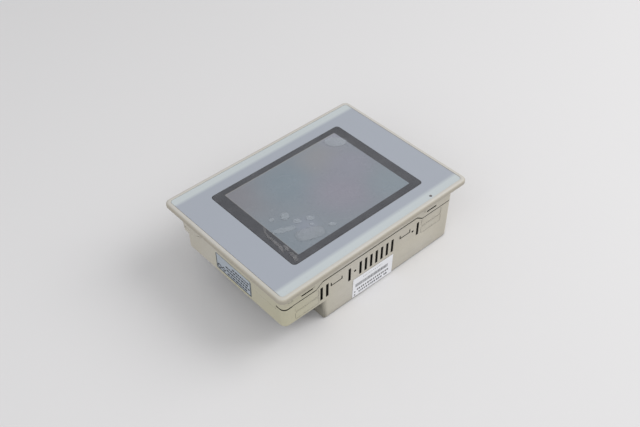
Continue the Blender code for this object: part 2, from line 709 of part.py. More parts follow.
def make_battery_cover():
    """Hatch that tips outwards about its lower edge."""
    _, y, z = HATCH_HINGE
    outline = bend((y, z), 0.9, 180, 360, 6) + [(y + 0.9, HATCH_Z1 - 0.4), (y - 0.7, HATCH_Z1 - 0.4)]
    hatch = prism_part("battery_cover", "ivory", outline, HATCH_X0 + 0.4, HATCH_X1 - 0.4, "x", HATCH_HINGE)
    join(hatch, prism_mesh(circle(y, z, 0.5, 8), HATCH_X0 - 1.1, HATCH_X1 + 1.1, "x"), "hinge_stubs")
    notch = ((43.0, y + 0.3, HATCH_Z1 - 3.0), (53.0, y + 2.0, HATCH_Z1 - 1.4))
    cut(hatch, box_mesh(notch), "finger_notch")


def make_expansion_cover():
    """Blanking plate that pulls straight off the right wall."""
    x = BODY_X1 - 0.6
    z0 = EXPANSION_Z0 + 0.4
    z1 = EXPANSION_Z1 - 0.4
    half = EXPANSION_HALF - 0.4
    plate = prism_part("expansion_cover", "ivory", rounded_rect(-half, half, z0, z1, 0.6, 2),
                       x - 1.4, x, "x", (x, 0.0, (z0 + z1) / 2))
    grip = box_mesh(((x - 0.6, -6.0, z0 + 1.6), (x + 1.0, 6.0, z0 + 2.6)),
                    ((x - 0.6, -6.0, z0 + 4.2), (x + 1.0, 6.0, z0 + 5.2)))
    cut(plate, grip, "finger_grooves")


def make_dip_switch():
    """Four-way slide switch on the main board, with its sliders below the ceiling of the bay."""
    low = (DIP_X - 3.2, DIP_Y - 5.6, 22.2)
    high = (DIP_X + 3.2, DIP_Y + 5.6, MAIN_BOARD_Z - GAP)
    body = box_part("dip_switch", "switch_blue", low, high)
    slots = []
    for number in range(4):
        y = DIP_Y + (number - 1.5) * DIP_PITCH
        slots.append(((DIP_X - 1.9, y - 0.8, 21.0), (DIP_X + 1.9, y + 0.8, 24.0)))
        slider = ((DIP_X - 1.6, y - 0.5, 21.6), (DIP_X, y + 0.5, 23.7))
        box_part(f"dip_slider_{number + 1}", "white_plastic", *slider, origin=(DIP_X - 0.8, y, 22.6))
    cut(body, box_mesh(*slots), "slots")


def make_reset_button():
    """Round button with a collar inside the case, over its push switch."""
    bm = bmesh.new()
    profile = ((1.5, 19.9), (1.9, 20.3), (1.9, 23.8), (2.9, 23.8), (2.9, 24.6))
    add_loft(bm, [placed(circle(RESET_X, RESET_Y, radius, 16), z) for radius, z in profile])
    add_object("reset_button", bm, "grey_plastic", (RESET_X, RESET_Y, 19.9))
    switch = box_part("reset_switch", "black_plastic", (RESET_X - 3, RESET_Y - 3, 25.9),
                      (RESET_X + 3, RESET_Y + 3, MAIN_BOARD_Z - GAP))
    chamfer = box_mesh(((RESET_X - 4, RESET_Y - 4, 25.0), (RESET_X - 2.4, RESET_Y - 2.4, 30.0)))
    cut(switch, chamfer, "corner")


def make_power_terminals():
    """Three-way screw terminal block with a cover that flips open."""
    hinge_x, _, hinge_z = TERMINAL_HINGE
    block = box_part("terminal_block", "black_plastic", (TERMINAL_X0, TERMINAL_Y0, TERMINAL_Z0),
                     (TERMINAL_X1, TERMINAL_Y1, MAIN_BOARD_Z - GAP))
    ears = bmesh.new()
    for y0 in (TERMINAL_Y0, TERMINAL_Y1 - 1.6):
        ear = [(TERMINAL_X1 - 1, 17.0), (TERMINAL_X1 - 1, 13.4), (hinge_x - 1.2, 13.4), (hinge_x - 1.2, 11.0),
               (hinge_x + 1.4, 11.0), (hinge_x + 1.4, 14.0)]
        add_prism(ears, ear, y0, y0 + 1.6, "y")
    join(block, ears, "hinge_ears")
    pitch = (TERMINAL_Y1 - TERMINAL_Y0) / 3
    screw_x = (TERMINAL_X0 + TERMINAL_X1) / 2
    wells = bmesh.new()
    entries = []
    for number in range(3):
        y = TERMINAL_Y0 + pitch * (number + 0.5)
        add_prism(wells, circle(screw_x, y, 3.0, 12), TERMINAL_Z0 - 1, TERMINAL_Z0 + 3.4)
        add_prism(wells, circle(screw_x, y, 1.6, 12), TERMINAL_Z0 + 3.4, TERMINAL_Z0 + 8.6)
        low = (TERMINAL_X0 - 1, y - 2.0, TERMINAL_Z0 + 4.4)
        entries.append((low, (TERMINAL_X0 + 3.0, y + 2.0, TERMINAL_Z0 + 7.4)))
        add_screw(f"terminal_screw_{number + 1}", screw_x, y, TERMINAL_Z0 + 0.9, 2.6, 1.3, 5.0)
    cut(block, wells, "screw_wells")
    cut(block, box_mesh(*entries), "wire_entries")
    holes = prism_mesh(circle(hinge_x, hinge_z, 0.75, 8), TERMINAL_Y0 - 1, TERMINAL_Y1 + 1, "y")
    cut(block, holes, "pin_holes")
    knuckle = bend((hinge_x, hinge_z), 1.1, 150, -150, 8)[1:-1]
    outline = [(TERMINAL_X0, 11.4), (TERMINAL_X0, 12.6), (hinge_x - 1.0, 12.6)]
    outline += knuckle + [(hinge_x - 1.0, 11.4)]
    cover = prism_part("terminal_cover", "grey_plastic", outline,
                       TERMINAL_Y0 + 1.9, TERMINAL_Y1 - 1.9, "y", TERMINAL_HINGE)
    stubs = prism_mesh(circle(hinge_x, hinge_z, 0.5, 8), TERMINAL_Y0 + 0.3, TERMINAL_Y1 - 0.3, "y")
    join(cover, stubs, "hinge_stubs")


# ------------------------------------------------------------------- inside


def make_port(name, port, y, board_x):
    """D-shaped socket: a metal shell with its fixing plate, an insulator with pin holes, two screws."""
    plate_x = STEP_X + WALL + GAP
    plate = ((plate_x, y - port["plate"] / 2, PORT_Z - PORT_PLATE_H / 2),
             (plate_x + 0.9, y + port["plate"] / 2, PORT_Z + PORT_PLATE_H / 2))
    shell = box_part(f"{name}_shell", "steel", *plate)
    outer = shell_outline(port["shell"], PORT_SHELL_H, y, PORT_Z)
    join(shell, prism_mesh(outer, STEP_X - 3.4, plate_x + 0.5, "x"), "skirt")
    inner = shell_outline(port["shell"] - 1.2, PORT_SHELL_H - 1.2, y, PORT_Z)
    cut(shell, prism_mesh(inner, STEP_X - 5, plate_x + 2, "x"), "bore")
    holes = bmesh.new()
    for side in (-1, 1):
        add_prism(holes, circle(y + side * port["screws"] / 2, PORT_Z, 1.6, 8), plate_x - 1, plate_x + 2, "x")
    cut(shell, holes, "screw_holes")
    body = shell_outline(port["shell"] - 1.8, PORT_SHELL_H - 1.8, y, PORT_Z)
    insulator = prism_part(f"{name}_insulator", "black_plastic", body, STEP_X - 3.2, board_x - GAP, "x")
    pins = bmesh.new()
    for row, count in enumerate(port["rows"]):
        z = PORT_Z + PIN_ROW * (0.5 - row)
        for i in range(count):
            pin_y = y + (i - (count - 1) / 2) * PIN_PITCH
            add_prism(pins, circle(pin_y, z, 0.6, 6), STEP_X - 4, STEP_X + 1, "x")
    cut(insulator, pins, "pin_holes")
    for number, side in enumerate((-1, 1), 1):
        post_y = y + side * port["screws"] / 2
        post = prism_part(f"{name}_post_{number}", "steel", circle(post_y, PORT_Z, 2.7, 6),
                          STEP_X - 5.3, STEP_X - GAP, "x")
        join(post, prism_mesh(circle(post_y, PORT_Z, 1.3, 8), STEP_X - 1, plate_x + 2.5, "x"), "shank")
        cut(post, prism_mesh(circle(post_y, PORT_Z, 1.4, 8), STEP_X - 6, STEP_X - 1.6, "x"), "thread_hole")


def make_boards():
    """Circuit boards with their larger components."""
    board = prism_part("main_board", "board_green", rounded_rect(-87.0, 84.4, -60.9, 47.0, 4.0, 3),
                       MAIN_BOARD_Z, MAIN_BOARD_Z + BOARD)
    clearances = bmesh.new()
    for x, y, _ in PILLARS:
        add_prism(clearances, circle(x, y, 3.5, 10), MAIN_BOARD_Z - 1, MAIN_BOARD_Z + BOARD + 1)
    cut(board, clearances, "pillar_holes")
    top = MAIN_BOARD_Z + BOARD + GAP
    box_part("processor", "black_plastic", (-14.0, -38.0, top), (14.0, -10.0, top + 3.0))
    box_part("program_memory", "black_plastic", (26.0, -34.0, top), (40.0, -14.0, top + 2.6))
    prism_part("buzzer", "black_plastic", circle(62.0, 20.0, 6.0, 20), top, top + 8.5)
    sink = box_part("heat_sink", "steel", (-12.0, -36.0, top + 3.3), (12.0, -12.0, top + 10.0))
    grooves = [((-10.4 + 4.0 * i, -40.0, top + 5.2), (-8.0 + 4.0 * i, -8.0, top + 12.0)) for i in range(6)]
    cut(sink, box_mesh(*grooves), "fin_gaps")
    box_part("power_board", "board_green", (-20.0, -58.0, POWER_BOARD_Z), (70.0, 20.0, POWER_BOARD_Z + BOARD))
    low = POWER_BOARD_Z + BOARD + GAP
    prism_part("power_capacitor", "sleeve_blue", circle(10.0, -44.0, 6.0, 16), low, low + 12.5)
    coil = centred_rect(22.0, 20.0, 3.0, 48.0, -36.0, 3)
    prism_part("power_inductor", "black_plastic", coil, low, low + 11.0)
    box_part("inverter_board", "board_green", (-60.0, 30.0, INVERTER_BOARD_Z),
             (40.0, 46.0, INVERTER_BOARD_Z + BOARD))
    winding = centred_rect(26.0, 13.0, 2.0, -30.0, 38.0, 2)
    prism_part("inverter_transformer", "sleeve_blue", winding, 31.0, INVERTER_BOARD_Z - GAP)


def make_battery():
    """Lithium cell in an open cradle behind the battery hatch."""
    holder = box_part("battery_holder", "black_plastic", (33.0, 28.0, WALL + GAP), (63.0, 46.4, 23.6))
    pocket = bend((38.0, 14.6), 7.6, 90, 270, 10)
    pocket += [(50.0, 7.0), (50.0, 22.2)]
    cut(holder, prism_mesh(pocket, 35.0, 61.0, "x"), "pocket")
    prism_part("battery_cell", "sleeve_blue", circle(38.2, 14.6, 7.2, 18), 35.4, 60.6, "x")


def make_inner_connectors():
    body = rounded_rect(-17.0, 17.0, 18.2, MAIN_BOARD_Z - GAP, 0.6, 2)
    prism_part("expansion_connector", "black_plastic", body, 75.0, 83.6, "x")
    board_x = STEP_X + 12.0
    box_part("port_board", "board_green", (board_x, -60.0, 4.0), (board_x + BOARD, 32.0, 24.0))
    make_port("port_a", PORT_A, PORT_A_Y, board_x)
    make_port("port_b", PORT_B, PORT_B_Y, board_x)


def make_labels():
    """Thin stickers: one on the bottom wall, leaning with it and a little crooked, one on the left wall."""
    lean = math.atan(DRAFT / SEAM_MID)
    stand_off = STICKER / 2 + 0.12
    wide, high = SERIAL_SIZE
    label = box_part("serial_label", "paper", (-wide / 2, -STICKER / 2, -high / 2),
                     (wide / 2, STICKER / 2, high / 2))
    y = BODY_Y0 + DRAFT * (1 - SERIAL_Z / SEAM_MID) - stand_off
    label.location = Vector((SERIAL_X, y, SERIAL_Z)) * MM
    label.rotation_euler = (lean, math.radians(1.6), 0.0)
    wide, high = RATING_SIZE
    label = box_part("rating_label", "foil_label", (-STICKER / 2, -wide / 2, -high / 2),
                     (STICKER / 2, wide / 2, high / 2))
    x = BODY_X0 + DRAFT * (1 - RATING_Z / SEAM_MID) - stand_off
    label.location = Vector((x, RATING_Y, RATING_Z)) * MM
    label.rotation_euler = (math.radians(1.0), -lean, 0.0)


def main():
    clear_scene()
    make_front_case()
    make_overlay()
    make_window()
    make_gasket()
    make_status_lamp()
    make_display()
    make_flat_cables()
    make_chassis()
    make_screws()
    make_rear_cover()
    make_battery_cover()
    make_expansion_cover()
    make_dip_switch()
    make_reset_button()
    make_power_terminals()
    make_boards()
    make_battery()
    make_inner_connectors()
    make_labels()


main()
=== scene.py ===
"""Looks of the touch screen operator panel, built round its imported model.

Each CAD node is replaced by a copy with rounded edges and a procedural material. Printed marks, air bubbles
and other fine details are pieces of their own. Named sizes and places are in millimetres, unless a comment
says otherwise, and meshes are in metres. Both are in the part's frame: +X along the screen's long side, +Y
towards its top edge, +Z out of the screen.
"""

import json
import math
import random

import bmesh
import bpy
from mathutils import Matrix, Vector


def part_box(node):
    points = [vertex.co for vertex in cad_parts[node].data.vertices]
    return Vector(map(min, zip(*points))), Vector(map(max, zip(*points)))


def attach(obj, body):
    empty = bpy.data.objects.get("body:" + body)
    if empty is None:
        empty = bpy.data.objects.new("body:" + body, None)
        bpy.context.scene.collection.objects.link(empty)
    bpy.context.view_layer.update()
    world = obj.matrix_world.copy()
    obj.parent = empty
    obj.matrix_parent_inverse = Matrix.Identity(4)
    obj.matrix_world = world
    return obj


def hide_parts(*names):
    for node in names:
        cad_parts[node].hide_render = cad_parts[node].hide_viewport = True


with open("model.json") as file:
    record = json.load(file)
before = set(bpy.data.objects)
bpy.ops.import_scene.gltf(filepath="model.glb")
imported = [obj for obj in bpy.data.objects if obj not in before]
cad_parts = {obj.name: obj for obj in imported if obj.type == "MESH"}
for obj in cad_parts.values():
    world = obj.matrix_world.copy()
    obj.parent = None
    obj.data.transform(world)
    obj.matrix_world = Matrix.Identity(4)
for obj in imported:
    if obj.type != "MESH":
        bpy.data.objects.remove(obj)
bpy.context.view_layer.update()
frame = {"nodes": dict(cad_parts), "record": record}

MM = 0.001
SMOOTH_ANGLE = math.radians(35)

# Camera that looks down on the panel from its near left side, in metres
CAMERA_PLACE = Vector((-0.3467, -0.3923, 0.5249))
CAMERA_TARGET = Vector((-0.0168, -0.0216, 0.0596))
CAMERA_ROLL = math.radians(-0.6)
CAMERA_LENS = 50.0

# Clear window of the front sheet, level with its dark border to within 0.05 mm
SCREEN_X = 0.7
SCREEN_Y = 0.5
PANE_W = 116.8
PANE_H = 88.0
WINDOW_TOP = 59.5
WINDOW_LIFT = 0.03  # over the touch glass
PALE_EDGE_LEFT = (0.45, 0.2)  # where the pane turns pale, as distances from its left edge
PALE_EDGE_FAR = (0.6, 0.3)  # and from its far edge

# Outline of the case body behind the rim, and the height above which its walls are upright
BODY_MIDDLE = (-1.2, -2.4)
BODY_HALF = (89.8, 62.4)
BODY_CORNER = 4.5
WALL_LEAN = 0.8
LEAN_TOP = 44.4

# Bounds of the case's painted shade, its painted highlight and its darker rim side. Each pair of places runs
# from no effect to full effect.
# Painted shade on the sides of slots and seams, left out on the grip panels
WALL_OUTSIDE = (0.1, 0.32)  # depth in the wall, from its outer face
WALL_INSIDE = (2.3, 2.2)
SLOTS_LOW = (22.3, 22.8)  # height
SLOTS_HIGH = (54.5, 54.0)
SLOTS_FAR = (40.0, 38.0)  # y
GRIPS_MIDDLE = -1.9  # x half-way between the grip panels
GRIPS_INNER = (53.8, 54.2)  # distance from that
GRIPS_HIGH = (38.6, 38.3)
GRIPS_WALL = (-58.0, -60.0)  # y
# No painted gap shade where the two shells meet closely on the left wall
TIGHT_SEAM_X = (-85.5, -86.5)
TIGHT_SEAM_Y = (-31.0, -29.0)
# Darker side of the rim
RIM_LOW = (54.0, 55.5)  # height, and so are the next two
RIM_HIGH = (59.6, 58.3)
# Painted highlight on the rim's front
RIM_FRONT = (59.3, 59.8)
# Painted shade in the sheltered corner under the connector bay
BAY_X = (-47.6, -50.0)
BAY_HIGH = (21.6, 21.2)  # height
BAY_REACH = 32.0  # how far a surface has to be from others to count as open

# Overlay sheet: distance from its middle line at which its paler bands blend in, how far its tight sides move
# out to close their gap, and how far from a side a corner may be to move with it
PALE_BAND = (58.4, 61.8)
SIDE_MOVE = 0.2
SIDE_REACH = 4.0

# Marks in low relief
MARK_HEIGHT = 0.04  # of air bubbles and creases, over the protective film
MARK_LIFT = 0.004
PRINT_LOW = 0.006  # foot and top of the printed marks, over the face of their sticker
PRINT_HIGH = 0.026

record = frame["record"]
BODY_OF = {node: body for body, nodes in record["behaviour"]["bodies"].items() for node in nodes}
SLOT_OF = {part["node"]: part["material_slot"] for part in record["subparts"]}

# Radius of the rounded edges, in millimetres, where it isn't the usual one
USUAL_EDGE = 0.12
EDGES = {
    "front_case": 0.3,
    "rear_cover": 0.3,
    "battery_cover": 0.2,
    "expansion_cover": 0.25,
    "front_overlay": 0.06,
    "window_border": 0.03,
    "protective_film": 0.0,
    "serial_label": 0.0,
    "rating_label": 0.0,
    "touch_panel": 0.1,
    "panel_gasket": 0.3,
    "display_cable": 0.0,
    "touch_cable": 0.0,
    "chassis_plate": 0.08,
    "port_a_insulator": 0.05,
    "port_b_insulator": 0.05,
    "lcd_cell": 0.08,
}


# ------------------------------------------------------------------ materials


class Look:
    """One procedural material, with short calls that add its nodes."""

    def __init__(self, name, roughness=0.5, metallic=0.0, specular=0.5):
        self.material = bpy.data.materials.new(name)
        self.material.use_nodes = True
        self.tree = self.material.node_tree
        self.shader = self.tree.nodes["Principled BSDF"]
        self.shader.inputs["Roughness"].default_value = roughness
        self.shader.inputs["Metallic"].default_value = metallic
        self.shader.inputs["Specular IOR Level"].default_value = specular
        self.place = self.node("ShaderNodeTexCoord").outputs["Object"]
        self.normal = None

    def put(self, socket, value):
        """Set a socket to a value, or link another node's output to it."""
        if isinstance(value, bpy.types.NodeSocket):
            self.tree.links.new(value, socket)
        elif isinstance(value, tuple) and len(value) == 3 and socket.type == "RGBA":
            socket.default_value = (*value, 1.0)
        else:
            socket.default_value = value

    def node(self, kind, inputs=None, **settings):
        made = self.tree.nodes.new(kind)
        for key, value in settings.items():
            setattr(made, key, value)
        for key, value in (inputs or {}).items():
            self.put(made.inputs[key], value)
        return made

    def noise(self, scale, detail=2.0, stretch=(1.0, 1.0, 1.0)):
        """Smooth noise about 0.5, with scale in cells per metre."""
        where = self.node("ShaderNodeMapping", {"Vector": self.place, "Scale": stretch}).outputs[0]
        inputs = {"Vector": where, "Scale": scale, "Detail": detail}
        return self.node("ShaderNodeTexNoise", inputs).outputs[0]

    def waves(self, scale, direction, distortion=0.0):
        """Parallel lines across a direction, X, Y or Z."""
        inputs = {"Vector": self.place, "Scale": scale, "Distortion": distortion}
        return self.node("ShaderNodeTexWave", inputs, bands_direction=direction).outputs[1]

    def math(self, operation, a, b=0.0):
        return self.node("ShaderNodeMath", {0: a, 1: b}, operation=operation).outputs[0]

    def spread(self, value, low, high, to_low=0.0, to_high=1.0):
        """Map low..high to to_low..to_high, held at both ends."""
        inputs = {"Value": value, "From Min": low, "From Max": high, "To Min": to_low, "To Max": to_high}
        return self.node("ShaderNodeMapRange", inputs).outputs[0]

    def ramp(self, value, span):
        """0 at the first place of a span and before it, 1 at the second one and beyond; spans are in mm."""
        start, full = span
        return self.spread(value, start * MM, full * MM)

    def times(self, first, *others):
        """Product of values that run over 0..1: the place where all of them apply."""
        for other in others:
            first = self.math("MULTIPLY", first, other)
        return first

    def rest(self, value):
        """What is left of 1."""
        return self.math("SUBTRACT", 1.0, value)

    def mix(self, share, first, second):
        """Colour between first and second."""
        made = self.node("ShaderNodeMix", {0: share}, data_type="RGBA")
        self.put(made.inputs[6], first)
        self.put(made.inputs[7], second)
        return made.outputs[2]

    def axes(self):
        """The x, y and z of the surface point, in metres."""
        return self.node("ShaderNodeSeparateXYZ", {0: self.place}).outputs

    def tint(self, base, centre, reach, colour):
        """Blend a colour in round a point, fading out smoothly towards the reach; both in millimetres."""
        spot = tuple(place * MM for place in centre)
        away = self.node("ShaderNodeVectorMath", {0: self.place, 1: spot}, operation="DISTANCE")
        inputs = {"Value": away.outputs["Value"], "From Min": reach * MM, "From Max": 0.0}
        share = self.node("ShaderNodeMapRange", inputs, interpolation_type="SMOOTHERSTEP").outputs[0]
        return self.mix(share, base, colour)

    def crevices(self, reach):
        """0 on open surfaces, towards 1 in gaps and inner corners, within a reach in millimetres."""
        made = self.node("ShaderNodeAmbientOcclusion", {"Distance": reach * MM}, samples=6)
        return self.rest(made.outputs["AO"])

    def edges(self, radius):
        """0 on flat surfaces, towards 1 along edges, within a radius in millimetres."""
        soft = self.node("ShaderNodeBevel", {"Radius": radius * MM}, samples=4).outputs[0]
        true = self.node("ShaderNodeNewGeometry").outputs["Normal"]
        dot = self.node("ShaderNodeVectorMath", {0: soft, 1: true}, operation="DOT_PRODUCT")
        return self.spread(dot.outputs["Value"], 1.0, 0.86)

    def bump(self, height, depth):
        """Add surface relief: height runs over 0..1, and depth is in millimetres."""
        inputs = {"Height": height, "Distance": depth * MM, "Strength": 1.0}
        if self.normal:
            inputs["Normal"] = self.normal
        self.normal = self.node("ShaderNodeBump", inputs).outputs[0]

    def finish(self, colour, roughness=None):
        """Link what was made to the shader."""
        self.put(self.shader.inputs["Base Color"], colour)
        if roughness is not None:
            self.put(self.shader.inputs["Roughness"], roughness)
        if self.normal:
            self.put(self.shader.inputs["Normal"], self.normal)
        return self.material


def shade(colour, factor):
    return tuple(channel * factor for channel in colour)


def grow(colour, factors):
    """A colour with each channel times its own factor."""
    return tuple(channel * factor for channel, factor in zip(colour, factors))


def slot_walls(look):
    """1 on what lies between the outer and the inner face of the case walls: the sides of slots and seams.

    The grip panels of the bottom wall are shallower than the wall and stay out.
    """
    x, y, z = look.axes()
    squares = []
    for place, middle, half in zip((x, y), BODY_MIDDLE, BODY_HALF):
        away = look.math("ABSOLUTE", look.math("SUBTRACT", place, middle * MM))
        past = look.math("MAXIMUM", look.math("SUBTRACT", away, (half - BODY_CORNER) * MM), 0.0)
        squares.append(look.math("MULTIPLY", past, past))
    across = look.math("SQRT", look.math("ADD", *squares))
    radius = look.spread(z, 0.0, LEAN_TOP * MM, (BODY_CORNER - WALL_LEAN) * MM, BODY_CORNER * MM)
    depth = look.math("SUBTRACT", radius, across)
    inside = look.times(look.ramp(depth, WALL_OUTSIDE), look.ramp(depth, WALL_INSIDE))
    heights = look.times(look.ramp(z, SLOTS_LOW), look.ramp(z, SLOTS_HIGH))
    near = look.ramp(y, SLOTS_FAR)
    aside = look.math("ABSOLUTE", look.math("SUBTRACT", x, GRIPS_MIDDLE * MM))
    grips = look.times(look.ramp(aside, GRIPS_INNER), look.ramp(z, GRIPS_HIGH), look.ramp(y, GRIPS_WALL))
    return look.times(inside, heights, near, look.rest(grips))


def outside_tight_seam(look):
    """0 on the part of the left wall where the two shells meet closely, 1 elsewhere."""
    x, y, _ = look.axes()
    return look.rest(look.times(look.ramp(x, TIGHT_SEAM_X), look.ramp(y, TIGHT_SEAM_Y)))


def paint_shell_shade_and_highlight(look, base, aged, apart):
    """Painted shade in the bay's sheltered corner and on the sides of slots, a painted highlight on the rim's
    front, a darker rim side.
    """
    x, _, z = look.axes()
    rim = look.times(look.ramp(z, RIM_LOW), look.ramp(z, RIM_HIGH))
    base = look.mix(look.math("MULTIPLY", rim, 0.8), base, RIM_SIDE)
    # Painted highlight along the rim's front
    base = look.mix(look.spread(z, RIM_FRONT[0] * MM, RIM_FRONT[1] * MM, 0.0, 0.4), base, RIM_PAINTED_HIGHLIGHT)
    # Painted shade in the sheltered corner under the connector bay
    bay = look.times(look.ramp(x, BAY_X), look.ramp(z, BAY_HIGH))
    sheltered = look.spread(look.crevices(BAY_REACH), 0.22, 0.6, 0.0, 0.88)
    base = look.mix(look.times(bay, sheltered), base, shade(aged, 0.3))
    # Painted shade that makes the sides of slots and seams near black
    walls = look.times(slot_walls(look), apart)
    return look.mix(look.math("MULTIPLY", walls, 0.97), base, shade(aged, GAP_PAINTED_SHADE))


def moulded(name, colour, aged, roughness, grain=0.03, wear=0.3, yellowed=(), stains=(), shell=False):
    """Moulded plastic: fine grain, uneven ageing, grime and painted shade in corners, gaps painted near black as
    shade, and rubbed edges.

    Grain is a depth in millimetres. Yellowed areas and stains are given as x, y, z and reach. The ivory case
    also gets painted shade in slots and under the bay, a painted highlight on the rim's front and a darker
    rim side, and no painted gap shade where its two shells meet closely.
    """
    look = Look(name, roughness, specular=0.4)
    base = look.mix(look.spread(look.noise(16.0, 4.0), 0.35, 0.68), colour, aged)
    for *spot, reach in yellowed:
        base = look.tint(base, spot, reach, YELLOWED)
    flecks = look.noise(650.0, 3.0)
    base = look.mix(look.spread(flecks, 0.42, 0.72, 0.0, 0.16), base, shade(aged, 0.72))
    smudges = look.noise(70.0, 5.0, (1.0, 1.0, 2.5))
    base = look.mix(look.spread(smudges, 0.55, 0.8, 0.0, 0.14), base, shade(aged, 0.6))
    scratches = look.spread(look.noise(420.0, 2.0, (1.0, 1.0, 2.0)), 0.5, 0.62)
    for *spot, reach in stains:
        spoiled = look.tint(base, spot, reach, shade(aged, 0.3))
        base = look.mix(scratches, base, spoiled)
    worn = look.spread(look.noise(160.0, 3.0), 0.4, 0.65, 0.1, wear)
    base = look.mix(look.times(look.edges(0.7), worn), base, shade(colour, 1.2))
    # Grime and painted shade in corners, then painted shade that makes deep gaps near black
    crevices = look.crevices(4.0)
    base = look.mix(look.spread(crevices, 0.3, 0.55, 0.0, 0.25), base, shade(aged, 0.5))
    gaps = look.spread(crevices, 0.5, 0.66, 0.0, 0.98)
    if shell:
        apart = outside_tight_seam(look)
        gaps = look.times(gaps, apart)
    base = look.mix(gaps, base, shade(aged, GAP_PAINTED_SHADE))
    if shell:
        base = paint_shell_shade_and_highlight(look, base, aged, apart)
    look.bump(look.noise(2300.0, 2.0), grain)
    look.bump(look.noise(120.0, 2.0), 0.05)
    shine = look.spread(look.noise(90.0, 4.0), 0.3, 0.7, roughness - 0.07, roughness + 0.09)
    return look.finish(base, shine)


def printed_sheet(name, colour, pale):
    """Satin overlay: a fine matt grain over flat print, with a paler band along both long edges."""
    look = Look(name, 0.36, specular=0.5)
    across = look.math("ABSOLUTE", look.axes()[1])
    base = look.mix(look.ramp(across, PALE_BAND), colour, pale)
    clouds = look.noise(11.0, 3.0)
    base = look.mix(look.spread(clouds, 0.35, 0.7, 0.0, 0.1), base, shade(colour, 0.86))
    specks = look.noise(520.0, 4.0)
    base = look.mix(look.spread(specks, 0.62, 0.78, 0.0, 0.22), base, shade(colour, 0.66))
    # Grime and painted shade in the corner along the sheet's edges
    dust_and_shade = look.spread(look.crevices(1.6), 0.35, 0.95, 0.0, 0.6)
    base = look.mix(dust_and_shade, base, DUST_AND_SHADE)
    look.bump(look.noise(3200.0, 2.0), 0.012)
    scuffs = look.noise(45.0, 5.0, (1.0, 6.0, 1.0))
    shine = look.spread(scuffs, 0.35, 0.75, 0.30, 0.46)
    return look.finish(base, shine)


def dark_print(name):
    """Dark border print behind a satin face, a little warmer in places. Its cut inner edge is pale."""
    look = Look(name, 0.34, specular=0.5)
    clouds = look.noise(14.0, 3.0)
    base = look.mix(look.spread(clouds, 0.35, 0.7), BORDER, shade(BORDER, 1.2))
    specks = look.noise(600.0, 3.0)
    base = look.mix(look.spread(specks, 0.6, 0.8, 0.0, 0.3), base, shade(BORDER, 1.7))
    normal = look.node("ShaderNodeNewGeometry").outputs["True Normal"]
    upward = look.node("ShaderNodeSeparateXYZ", {0: normal}).outputs[2]
    base = look.mix(look.spread(upward, 0.5, 0.2, 0.0, 0.8), base, BORDER_EDGE)
    look.bump(look.noise(3000.0, 2.0), 0.01)
    shine = look.spread(look.noise(60.0, 4.0), 0.3, 0.7, 0.28, 0.42)
    return look.finish(base, shine)


def unlit_screen(name):
    """Clear window over an unlit display: soft tints drift across it, and two of its edges are paler."""
    look = Look(name, 0.24, specular=0.5)
    base = look.mix(look.spread(look.noise(9.0, 1.0), 0.4, 0.6), SCREEN, shade(SCREEN, 0.97))
    for x, y, reach, factors in SCREEN_TINTS:
        base = look.tint(base, (x, y, WINDOW_TOP), reach, grow(SCREEN, factors))
    rows = look.waves(436.0, "Y")
    base = look.mix(look.spread(rows, 0.0, 1.0, 0.0, 0.04), base, shade(SCREEN, 0.5))
    x, y, _ = look.axes()
    left = look.ramp(x, [SCREEN_X - PANE_W / 2 + inset for inset in PALE_EDGE_LEFT])
    far = look.ramp(y, [SCREEN_Y + PANE_H / 2 - inset for inset in PALE_EDGE_FAR])
    base = look.mix(look.math("MULTIPLY", look.math("MAXIMUM", left, far), 0.5), base, PANE_EDGE)
    wiped = look.noise(38.0, 3.0)
    look.bump(look.noise(30.0, 1.0), 0.006)
    return look.finish(base, look.spread(wiped, 0.35, 0.7, 0.24, 0.30))


def clear_film(name, tint, low, high, roughness, blotches=60.0, rise=None):
    """Clear film that hides between a low and a high share of what is under it, in blotches.

    With rise, its lowest level and its height above that in metres, it fades out towards its thin edge.
    """
    look = Look(name, roughness, specular=0.5)
    clouds = look.noise(blotches, 3.0)
    share = look.spread(clouds, 0.4, 0.75, low, high)
    if rise:
        foot, height = rise
        share = look.times(share, look.spread(look.axes()[2], foot + 0.02 * height, foot + 0.7 * height))
    look.put(look.shader.inputs["Alpha"], share)
    base = look.mix(look.spread(look.noise(30.0, 2.0), 0.3, 0.7), tint, shade(tint, 0.9))
    look.bump(look.noise(45.0, 1.0), 0.002)
    return look.finish(base, look.spread(clouds, 0.3, 0.7, roughness - 0.04, roughness + 0.06))


def paper(name, colour, roughness=0.6):
    """Sticker: faint fibres, a little soiled in patches."""
    look = Look(name, roughness, specular=0.3)
    fibres = look.noise(1500.0, 4.0, (1.0, 1.0, 3.0))
    base = look.mix(look.spread(fibres, 0.35, 0.75, 0.0, 0.12), colour, shade(colour, 0.72))
    soil = look.noise(60.0, 3.0)
    base = look.mix(look.spread(soil, 0.5, 0.8, 0.0, 0.15), base, shade(colour, 0.8))
    look.bump(fibres, 0.01)
    return look.finish(base, look.spread(soil, 0.3, 0.7, roughness - 0.08, roughness + 0.08))


def ink(name, colour):
    """Printed bars, slightly worn."""
    look = Look(name, 0.55, specular=0.3)
    worn = tuple(channel + 0.03 for channel in colour)
    base = look.mix(look.spread(look.noise(900.0, 3.0), 0.4, 0.7), colour, worn)
    look.bump(look.noise(2000.0, 2.0), 0.004)
    return look.finish(base)


